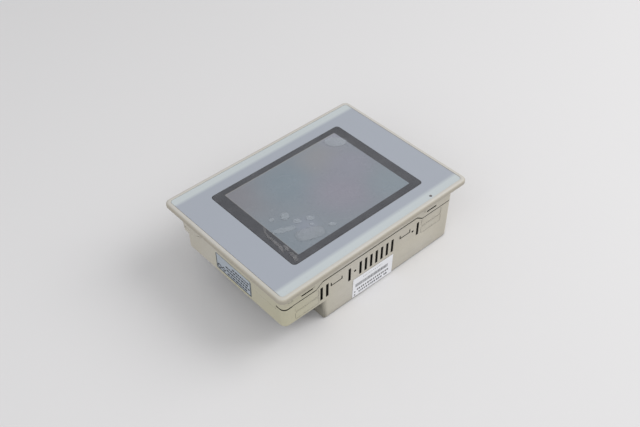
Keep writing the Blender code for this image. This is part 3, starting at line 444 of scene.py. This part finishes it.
def metal(name, colour, roughness, brushed=(1.0, 1.0, 30.0)):
    """Plated steel with fine drawing lines and slight staining."""
    look = Look(name, roughness, metallic=1.0)
    lines = look.noise(900.0, 3.0, brushed)
    stains = look.noise(140.0, 4.0)
    base = look.mix(look.spread(lines, 0.3, 0.7), colour, shade(colour, 0.78))
    base = look.mix(look.spread(stains, 0.5, 0.8, 0.0, 0.35), base, shade(colour, 0.5))
    look.bump(lines, 0.006)
    return look.finish(base, look.spread(stains, 0.3, 0.7, roughness - 0.08, roughness + 0.14))


def rubber(name):
    """Black rubber with a powdery bloom."""
    look = Look(name, 0.75, specular=0.3)
    powder = look.noise(300.0, 4.0)
    base = look.mix(look.spread(powder, 0.4, 0.75), (0.032, 0.032, 0.033), (0.075, 0.073, 0.07))
    look.bump(look.noise(1800.0, 3.0), 0.03)
    return look.finish(base, look.spread(powder, 0.3, 0.7, 0.66, 0.86))


def circuit_board(name):
    """Green solder mask over copper tracks that run both ways, with tinned pads."""
    look = Look(name, 0.38, specular=0.5)
    x_lines, y_lines = (look.waves(120.0, direction, distortion=1.5) for direction in "XY")
    area = look.node("ShaderNodeTexVoronoi", {"Vector": look.place, "Scale": 70.0}).outputs["Color"]
    pick = look.spread(look.node("ShaderNodeSeparateXYZ", {0: area}).outputs[0], 0.49, 0.51)
    lines = look.node("ShaderNodeMix", {0: pick, 2: x_lines, 3: y_lines}).outputs[0]
    tracks = look.spread(lines, 0.62, 0.72)
    base = look.mix(tracks, (0.018, 0.105, 0.05), (0.05, 0.22, 0.10))
    pads = look.node("ShaderNodeTexVoronoi", {"Vector": look.place, "Scale": 330.0}).outputs["Distance"]
    base = look.mix(look.spread(pads, 0.20, 0.16), base, (0.55, 0.55, 0.52))
    look.bump(tracks, 0.03)
    return look.finish(base, look.spread(look.noise(200.0, 3.0), 0.3, 0.7, 0.3, 0.46))


def smoked_lens(name):
    """Dark, glossy plastic of the unlit status lamp."""
    look = Look(name, 0.12, specular=0.6)
    depth = look.noise(500.0, 2.0)
    base = look.mix(look.spread(depth, 0.35, 0.7), (0.15, 0.125, 0.125), (0.22, 0.18, 0.18))
    look.bump(depth, 0.01)
    return look.finish(base, look.spread(look.noise(700.0, 2.0), 0.3, 0.7, 0.08, 0.2))


def milky(name, colour, roughness):
    """Smooth plastic or film with faint clouds."""
    look = Look(name, roughness, specular=0.5)
    clouds = look.noise(60.0, 3.0)
    base = look.mix(look.spread(clouds, 0.35, 0.7), colour, shade(colour, 0.88))
    look.bump(look.noise(1200.0, 2.0), 0.01)
    return look.finish(base, look.spread(clouds, 0.3, 0.7, roughness - 0.06, roughness + 0.1))


def flexible(name, colour, dark, ribs):
    """Flat cable: parallel conductors show as ribs."""
    look = Look(name, 0.42, specular=0.45)
    wave = look.waves(314.0, ribs)
    base = look.mix(look.spread(wave, 0.35, 0.65), colour, dark)
    look.bump(wave, 0.08)
    return look.finish(base, look.spread(look.noise(300.0, 3.0), 0.3, 0.7, 0.35, 0.52))


IVORY = (0.592, 0.565, 0.503)
AGED_IVORY = (0.55, 0.515, 0.432)
YELLOWED = (0.525, 0.5, 0.365)
# Darker side of the rim, and the painted highlight on its front
RIM_SIDE = (0.387, 0.354, 0.292)
RIM_PAINTED_HIGHLIGHT = (0.65, 0.645, 0.645)
GAP_PAINTED_SHADE = 0.02  # share of the plastic's own brightness that painted shade leaves in a deep gap
# Middles and reaches of the yellowed and the stained places of the case, in millimetres
YELLOWED_AREAS = ((-88.0, -60.0, 22.0, 62.0), (-92.0, -10.0, 22.0, 45.0))
RIM_STAINS = ((-84.5, -66.0, 46.0, 5.0), (-63.0, -66.0, 45.0, 3.5), (55.0, -66.0, 45.5, 3.5))
OVERLAY = (0.40, 0.432, 0.49)
OVERLAY_BAND = (0.575, 0.625, 0.64)
# Grime and painted shade in the corners of the overlay sheet
DUST_AND_SHADE = (0.20, 0.19, 0.17)
BORDER = (0.056, 0.0575, 0.0665)
BORDER_EDGE = (0.34, 0.325, 0.29)
PANE_EDGE = (0.42, 0.40, 0.35)
SCREEN = (0.239, 0.271, 0.308)
SCREEN_TINTS = (  # x, y and reach in millimetres, and how the three colour channels change
    (-60.0, 40.0, 60.0, (0.95, 0.84, 0.82)),
    (-12.0, 20.0, 42.0, (0.91, 0.98, 1.00)),
    (-56.0, -26.0, 40.0, (0.94, 0.97, 0.98)),
    (30.0, 26.0, 36.0, (1.18, 1.06, 1.00)),
    (56.0, 40.0, 26.0, (1.25, 1.14, 1.18)),
    (14.0, -14.0, 46.0, (1.15, 1.00, 1.05)),
    (42.0, 6.0, 36.0, (1.13, 1.02, 1.07)),
    (50.0, -34.0, 34.0, (1.02, 1.06, 1.06)),
    (-33.0, -24.0, 16.0, (1.12, 1.09, 1.14)),
)

BUBBLE_FILM = (0.74, 0.81, 0.88)
PATCH_FILM = (0.74, 0.79, 0.86)
CREASE_FILM = (0.49, 0.48, 0.49)

# How each material slot of the record looks
LOOKS = {
    "ivory_case": lambda: moulded("ivory_case_moulding", IVORY, AGED_IVORY, 0.52, wear=0.2,
                                  yellowed=YELLOWED_AREAS, stains=RIM_STAINS, shell=True),
    "overlay_sheet": lambda: printed_sheet("overlay_print", OVERLAY, OVERLAY_BAND),
    "window_border": lambda: dark_print("border_print"),
    "clear_film": lambda: clear_film("film_sheet", (0.80, 0.83, 0.87), 0.015, 0.035, 0.2),
    "touch_glass": lambda: unlit_screen("unlit_screen"),
    "lcd_glass": lambda: milky("polariser", (0.10, 0.12, 0.14), 0.16),
    "diffuser": lambda: milky("acrylic_diffuser", (0.84, 0.86, 0.86), 0.32),
    "black_plastic": lambda: moulded("black_moulding", (0.030, 0.030, 0.031), (0.045, 0.044, 0.043), 0.46,
                                     grain=0.02, wear=0.25),
    "lamp_lens": lambda: smoked_lens("smoked_lens"),
    "gasket_rubber": lambda: rubber("gasket_rubber_black"),
    "circuit_board": lambda: circuit_board("solder_mask"),
    "steel": lambda: metal("zinc_plated_steel", (0.62, 0.63, 0.64), 0.34),
    "polyimide": lambda: flexible("amber_flex", (0.55, 0.27, 0.05), (0.36, 0.16, 0.03), "Y"),
    "cable_jacket": lambda: flexible("grey_ribbon", (0.46, 0.47, 0.49), (0.33, 0.34, 0.36), "X"),
    "sleeve_blue": lambda: milky("shrink_sleeve", (0.04, 0.11, 0.30), 0.34),
    "switch_blue": lambda: moulded("blue_moulding", (0.03, 0.13, 0.42), (0.04, 0.14, 0.38), 0.42,
                                   grain=0.02, wear=0.25),
    "white_plastic": lambda: moulded("white_moulding", (0.80, 0.80, 0.77), (0.74, 0.73, 0.68), 0.42,
                                     grain=0.02, wear=0.2),
    "grey_plastic": lambda: moulded("grey_moulding", (0.30, 0.31, 0.31), (0.27, 0.27, 0.26), 0.48,
                                    grain=0.025),
    "paper_label": lambda: paper("sticker_paper", (0.88, 0.89, 0.925)),
    "foil_label": lambda: paper("sticker_foil", (0.45, 0.50, 0.56), 0.4),
}
finishes = {}


def finish_of(slot):
    """The material of a slot of the record, made when it is first asked for."""
    if slot not in finishes:
        finishes[slot] = LOOKS[slot]()
    return finishes[slot]


# ------------------------------------------------------------------- geometry

# Marks in the protective film, in millimetres
BUBBLE_SIDES = 40
BUBBLE_PROFILE = ((1.0, 0.0), (0.95, 0.2), (0.86, 0.45), (0.72, 0.7), (0.5, 0.9), (0.25, 0.98))
BUBBLES = (  # x, y, half length, half width, turn in degrees, unevenness and squareness
    (51.2, 34.6, 10.6, 6.8, -45, 0.03, 1.0),
    (-38.7, -6.0, 4.6, 3.6, 50, 0.04, 1.0),
    (-48.8, -2.2, 2.4, 2.0, 20, 0.05, 1.0),
    (-35.4, -16.3, 3.5, 2.6, -48, 0.05, 1.0),
    (-25.9, -20.4, 3.5, 2.6, -48, 0.05, 1.0),
    (-17.8, -36.7, 3.4, 1.9, -48, 0.06, 1.0),
    (-29.2, -26.1, 2.0, 1.3, -45, 0.06, 1.0),
    (-48.8, -17.0, 9.7, 3.1, -22, 0.04, 0.8),
)
LOOSE_PATCH = (-36.9, -33.0, 12.6, 6.5, -22, 0.03, 0.62)
RIDGE_STEPS = 6
RIDGE_PROFILE = ((-0.5, 0.0), (-0.34, 0.7), (0.0, 1.0), (0.34, 0.7), (0.5, 0.0))
CREASES = (  # points, and the width at each
    (((-58.1, -4.3), (-59.8, -7.1), (-61.3, -10.0), (-62.2, -14.2), (-62.3, -19.0), (-62.4, -23.6),
      (-62.3, -27.6), (-63.4, -31.0), (-64.7, -34.6)),
     (0.9, 1.9, 2.0, 2.0, 2.3, 2.9, 3.1, 2.8, 1.0)),
    (((-60.1, -29.2), (-59.7, -31.3), (-60.4, -34.0), (-61.1, -36.3)),
     (0.9, 3.0, 3.4, 1.6)),
    (((-61.6, -37.8), (-61.0, -39.6), (-61.3, -43.0), (-62.3, -46.2), (-63.4, -48.0)),
     (1.2, 3.2, 3.9, 3.8, 1.4)),
)

# Rows of bars on the stickers, in millimetres about their middles: from u, to u, the row's middle v, its
# height, and the least and the greatest width of a bar and of a gap
SERIAL_ROWS = (
    (-11.0, 11.0, 7.0, 0.5, (0.4, 1.0), (0.6, 1.2)),
    (-18.8, 17.2, 1.8, 3.4, (0.34, 0.64), (0.30, 0.60)),
    (-17.0, 17.6, -3.4, 1.7, (1.0, 1.7), (0.6, 1.1)),
    (-15.0, 11.6, -7.0, 1.6, (1.0, 1.7), (0.6, 1.1)),
    (12.6, 18.0, -7.0, 1.6, (1.2, 2.0), (0.3, 0.4)),
)
RATING_ROWS = (
    (-1.0, 19.4, 4.4, 1.5, (1.2, 2.6), (0.5, 0.9)),
    (-9.2, 19.4, 1.3, 1.6, (1.4, 3.4), (0.5, 0.9)),
    (-8.4, 19.4, -1.9, 1.6, (1.4, 3.4), (0.5, 0.9)),
    (-7.6, 19.4, -5.1, 1.6, (1.4, 3.4), (0.5, 0.9)),
)


def new_piece(name, bm, material, body):
    """Turn a mesh, in metres in the part's frame, into a piece of the object."""
    bmesh.ops.recalc_face_normals(bm, faces=bm.faces)
    mesh = bpy.data.meshes.new(name)
    bm.to_mesh(mesh)
    bm.free()
    mesh.shade_smooth()
    mesh.set_sharp_from_angle(angle=SMOOTH_ANGLE)
    mesh.materials.append(material)
    piece = bpy.data.objects.new(name, mesh)
    bpy.context.scene.collection.objects.link(piece)
    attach(piece, body)
    return piece


def bridge(bm, first, second):
    """Faces between two closed loops with the same number of corners."""
    for i in range(len(first)):
        j = (i + 1) % len(first)
        bm.faces.new((first[i], first[j], second[j], second[i]))


def close_overlay_gap(bm):
    """Move three outer sides of the overlay sheet out, so that only the left one shows an open gap.

    The hole for the status lamp is near one of them and stays where it is.
    """
    low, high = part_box("front_overlay")
    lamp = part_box("status_led")
    for vert in bm.verts:
        if lamp[0].x < vert.co.x < lamp[1].x:
            continue
        if vert.co.x > high.x - SIDE_REACH * MM:
            vert.co.x += SIDE_MOVE * MM
        if vert.co.y > high.y - SIDE_REACH * MM:
            vert.co.y += SIDE_MOVE * MM
        if vert.co.y < low.y + SIDE_REACH * MM:
            vert.co.y -= SIDE_MOVE * MM


def refined_copy(node):
    """A copy of a CAD node with its flat faces joined up and its edges rounded. It stands for the node."""
    bm = bmesh.new()
    bm.from_mesh(frame["nodes"][node].data)
    bmesh.ops.remove_doubles(bm, verts=bm.verts, dist=0.001 * MM)
    bmesh.ops.dissolve_limit(bm, angle_limit=math.radians(0.5), verts=bm.verts, edges=bm.edges)
    if node == "front_overlay":
        close_overlay_gap(bm)
    slot = SLOT_OF[node]
    piece = new_piece(f"{node}_finished", bm, finish_of(slot), BODY_OF[node])
    radius = EDGES.get(node, USUAL_EDGE)
    if radius:
        bevel = piece.modifiers.new("rounded_edges", "BEVEL")
        bevel.width = radius * MM
        bevel.segments = 2
        bevel.limit_method = "ANGLE"
        bevel.angle_limit = SMOOTH_ANGLE
        bevel.use_clamp_overlap = False
        bevel.harden_normals = True
    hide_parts(node)


def smooth_path(points, steps):
    """Points along a smooth curve through the given ones, with so many steps between each two."""
    path = []
    for i in range(len(points) - 1):
        before = Vector(points[max(i - 1, 0)])
        start = Vector(points[i])
        end = Vector(points[i + 1])
        after = Vector(points[min(i + 2, len(points) - 1)])
        for step in range(steps):
            t = step / steps
            path.append(0.5 * (2 * start + (end - before) * t
                               + (2 * before - 5 * start + 4 * end - after) * t * t
                               + (3 * start - before - 3 * end + after) * t ** 3))
    path.append(Vector(points[-1]))
    return path


def add_bubble(bm, level, generator, x, y, half_long, half_wide, turn, wobble, squareness):
    """Low closed dome with an uneven outline, standing on a level in metres.

    The middle and the half sizes are in millimetres, and the turn is in degrees.
    """
    x, y, half_long, half_wide = (size * MM for size in (x, y, half_long, half_wide))
    turn = math.radians(turn)
    phases = [generator.uniform(0, 2 * math.pi) for _ in range(3)]
    outline = []
    for i in range(BUBBLE_SIDES):
        angle = 2 * math.pi * i / BUBBLE_SIDES
        reach = 1 + sum(wobble / n * math.cos((n + 1) * angle + p) for n, p in enumerate(phases, 1))
        u = math.copysign(abs(math.cos(angle)) ** squareness, math.cos(angle)) * half_long * reach
        v = math.copysign(abs(math.sin(angle)) ** squareness, math.sin(angle)) * half_wide * reach
        outline.append((u * math.cos(turn) - v * math.sin(turn), u * math.sin(turn) + v * math.cos(turn)))
    rings = []
    for share, rise in BUBBLE_PROFILE:
        z = level + rise * MARK_HEIGHT * MM
        rings.append([bm.verts.new((x + u * share, y + v * share, z)) for u, v in outline])
    for lower, upper in zip(rings, rings[1:]):
        bridge(bm, lower, upper)
    bm.faces.new(rings[0][::-1])
    bm.faces.new(rings[-1])


def add_ridge(bm, level, points, widths):
    """Low closed ridge on a level in metres: a crease in the film.

    The points and the width at each of them are in millimetres.
    """
    path = smooth_path([(x * MM, y * MM) for x, y in points], RIDGE_STEPS)
    widths = [width * MM for width in widths]
    rows = []
    for i, point in enumerate(path):
        along = path[min(i + 1, len(path) - 1)] - path[max(i - 1, 0)]
        across = Vector((-along.y, along.x)).normalized()
        place = i / RIDGE_STEPS
        low = min(int(place), len(widths) - 2)
        width = widths[low] + (widths[low + 1] - widths[low]) * (place - low)
        row = []
        for share, rise in RIDGE_PROFILE:
            spot = point + across * width * share
            row.append(bm.verts.new((spot.x, spot.y, level + MARK_HEIGHT * MM * rise)))
        rows.append(row)
    for first, second in zip(rows, rows[1:]):
        bridge(bm, first, second)
    bm.faces.new(rows[0])
    bm.faces.new(rows[-1][::-1])


def make_screen_window():
    """Clear window pane that fills the opening of the dark border."""
    bm = bmesh.new()
    bmesh.ops.create_cube(bm, size=1.0)
    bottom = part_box("touch_panel")[1].z + WINDOW_LIFT * MM
    for vert in bm.verts:
        vert.co.x = (SCREEN_X - PANE_W / 2 + (vert.co.x + 0.5) * PANE_W) * MM
        vert.co.y = (SCREEN_Y - PANE_H / 2 + (vert.co.y + 0.5) * PANE_H) * MM
        vert.co.z = WINDOW_TOP * MM if vert.co.z > 0 else bottom
    new_piece("screen_window", bm, finish_of("touch_glass"), "housing")


def make_film_marks():
    """Air bubbles under the protective film, a patch that has come loose, and creases over the border."""
    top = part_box("protective_film")[1].z + MARK_LIFT * MM
    rise = (top, MARK_HEIGHT * MM)
    generator = random.Random(5)
    bm = bmesh.new()
    for bubble in BUBBLES:
        add_bubble(bm, top, generator, *bubble)
    material = clear_film("film_bubbles", BUBBLE_FILM, 0.24, 0.32, 0.42, rise=rise)
    new_piece("film_air_bubbles", bm, material, "housing")
    bm = bmesh.new()
    add_bubble(bm, top, generator, *LOOSE_PATCH)
    material = clear_film("film_patch", PATCH_FILM, 0.17, 0.24, 0.42, rise=rise)
    new_piece("film_loose_patch", bm, material, "housing")
    bm = bmesh.new()
    for points, widths in CREASES:
        add_ridge(bm, top, points, widths)
    material = clear_film("film_creases", CREASE_FILM, 0.17, 0.36, 0.55, blotches=200.0, rise=rise)
    new_piece("film_creases", bm, material, "housing")


def face_of(node, outward):
    """The outward face of a thin sticker: its middle, its two unit axes, its normal and its size.

    The first axis follows the sticker's lower edge, to the right for someone who looks at the face. Of all
    lines between two corners it is the longest that hardly rises, which keeps the diagonals out.
    """
    mesh = frame["nodes"][node].data
    faces = [polygon for polygon in mesh.polygons if polygon.normal.dot(Vector(outward)) > 0.9]
    corners = [mesh.vertices[i].co.copy() for polygon in faces for i in polygon.vertices]
    normal = sum((polygon.normal * polygon.area for polygon in faces), Vector()).normalized()
    level = Vector((0, 0, 1)).cross(normal).normalized()
    steep = normal.cross(level)
    sides = [b - a for a in corners for b in corners]
    right = max(sides, key=lambda side: side.dot(level) - 8 * abs(side.dot(steep))).normalized()
    up = normal.cross(right)
    middle = sum(corners, Vector()) / len(corners)
    size = []
    for axis in (right, up):
        span = [(corner - middle).dot(axis) for corner in corners]
        middle = middle + axis * (max(span) + min(span)) / 2
        size.append(max(span) - min(span))
    return middle, right, up, normal, size


def on_face(face, u, v, height):
    """Point over a sticker's face, from millimetres about its middle."""
    middle, right, up, normal, _ = face
    return middle + right * u * MM + up * v * MM + normal * height * MM


def add_bar(bm, face, u0, u1, v0, v1):
    """Thin closed block on a sticker's face."""
    corners = ((u0, v0), (u1, v0), (u1, v1), (u0, v1))
    low, high = ([bm.verts.new(on_face(face, u, v, height)) for u, v in corners]
                 for height in (PRINT_LOW, PRINT_HIGH))
    bridge(bm, low, high)
    bm.faces.new(low[::-1])
    bm.faces.new(high)


def add_ring(bm, face, u, v, radius, width, sides):
    """Thin closed ring with straight sides about the point u, v of a sticker's face."""
    inner = radius - width
    angles = [2 * math.pi * i / sides for i in range(sides)]
    loops = []
    for height, reach in ((PRINT_LOW, radius), (PRINT_HIGH, radius), (PRINT_HIGH, inner), (PRINT_LOW, inner)):
        spots = [(u + reach * math.cos(angle), v + reach * math.sin(angle)) for angle in angles]
        loops.append([bm.verts.new(on_face(face, *spot, height)) for spot in spots])
    for first, second in zip(loops, loops[1:] + loops[:1]):
        bridge(bm, first, second)


def add_row(bm, face, generator, u0, u1, v, height, widths, gaps):
    """Row of plain bars with uneven widths and gaps, as long as the next bar still fits."""
    u = u0
    while True:
        width = generator.uniform(*widths)
        if u + width > u1:
            return
        add_bar(bm, face, u, u + width, v - height / 2, v + height / 2)
        u += width + generator.uniform(*gaps)


def make_serial_print():
    """Plain bars on the white sticker: rows of short blocks, a row of tall thin bars and two dots."""
    face = face_of("serial_label", (0, -1, 0))
    generator = random.Random(11)
    bm = bmesh.new()
    for row in SERIAL_ROWS:
        add_row(bm, face, generator, *row)
    for v in (-4.8, -8.4):
        add_bar(bm, face, -20.0, -18.6, v - 0.6, v + 0.6)
    new_piece("serial_label_bars", bm, ink("grey_ink", (0.05, 0.052, 0.06)), "housing")


def make_rating_print():
    """Dark edges, rows of short bars, a ring and a rhombus on the blue-grey sticker."""
    face = face_of("rating_label", (-1, 0, 0))
    margin, side, foot = 0.15, 0.8, 0.9
    half_wide, half_high = (size / 2 / MM - margin for size in face[4])
    generator = random.Random(23)
    bm = bmesh.new()
    add_bar(bm, face, -half_wide, -half_wide + side, -half_high, half_high)
    add_bar(bm, face, half_wide - side, half_wide, -half_high, half_high)
    add_bar(bm, face, -half_wide + side, half_wide - side, -half_high, -half_high + foot)
    for row in RATING_ROWS:
        add_row(bm, face, generator, *row)
    add_ring(bm, face, -17.4, -4.2, radius=2.5, width=1.1, sides=16)
    add_ring(bm, face, -12.0, -3.9, radius=2.7, width=1.2, sides=4)
    new_piece("rating_label_bars", bm, ink("blue_ink", (0.012, 0.016, 0.022)), "housing")


# --------------------------------------------------------------------- studio

FLOOR_TONES = ((0.80, 0.795, 0.80), (0.79, 0.785, 0.79))
FLOOR_SIZE = 3.0  # metres from the middle to a side
FLOOR_DROP = 0.2  # under the panel's rear face, in millimetres
SOFTBOXES = (  # name, place and size in metres, power in watts and colour
    ("softbox", (1.04, -0.60, 1.20), 1.2, 14.1, (1.0, 0.99, 0.98)),
    ("left_fill", (-1.39, -0.65, 1.29), 1.6, 10.8, (0.98, 0.99, 0.995)),
)
LIT_POINT = Vector((0.0, 0.0, 0.03))
SKY = (0.935, 0.935, 0.945)
SKY_STRENGTH = 0.523


def aim(obj, target, roll=0.0):
    """Turn a camera or a lamp towards a point, with +Z up and then rolled."""
    direction = target - obj.location
    turn = direction.to_track_quat("-Z", "Y").to_matrix().to_4x4() @ Matrix.Rotation(roll, 4, "Z")
    obj.rotation_mode = "QUATERNION"
    obj.rotation_quaternion = turn.to_quaternion()


def make_camera():
    data = bpy.data.cameras.new("camera")
    data.lens = CAMERA_LENS
    camera = bpy.data.objects.new("camera", data)
    camera.location = CAMERA_PLACE
    aim(camera, CAMERA_TARGET, CAMERA_ROLL)
    bpy.context.scene.collection.objects.link(camera)
    bpy.context.scene.camera = camera


def add_softbox(name, place, size, power, colour):
    data = bpy.data.lights.new(name, "AREA")
    data.shape = "SQUARE"
    data.size = size
    data.energy = power
    data.color = colour
    lamp = bpy.data.objects.new(name, data)
    lamp.location = place
    aim(lamp, LIT_POINT)
    bpy.context.scene.collection.objects.link(lamp)


def make_studio():
    """Pale floor, an even sky, one large soft lamp on the right and a weaker one on the left."""
    bm = bmesh.new()
    bmesh.ops.create_grid(bm, x_segments=1, y_segments=1, size=FLOOR_SIZE)
    mesh = bpy.data.meshes.new("floor")
    bm.to_mesh(mesh)
    bm.free()
    look = Look("floor_paper", 0.7, specular=0.2)
    mesh.materials.append(look.finish(look.mix(look.noise(2.0, 2.0), *FLOOR_TONES)))
    floor = bpy.data.objects.new("floor", mesh)
    floor.location = (0.0, 0.0, -FLOOR_DROP * MM)
    bpy.context.scene.collection.objects.link(floor)
    for softbox in SOFTBOXES:
        add_softbox(*softbox)
    world = bpy.data.worlds.new("studio")
    world.use_nodes = True
    background = world.node_tree.nodes["Background"]
    background.inputs["Color"].default_value = (*SKY, 1.0)
    background.inputs["Strength"].default_value = SKY_STRENGTH
    bpy.context.scene.world = world
    bpy.context.scene.view_settings.view_transform = "Standard"


def main():
    make_camera()
    make_studio()
    for node in frame["nodes"]:
        refined_copy(node)
    make_screen_window()
    make_film_marks()
    make_serial_print()
    make_rating_print()


main()
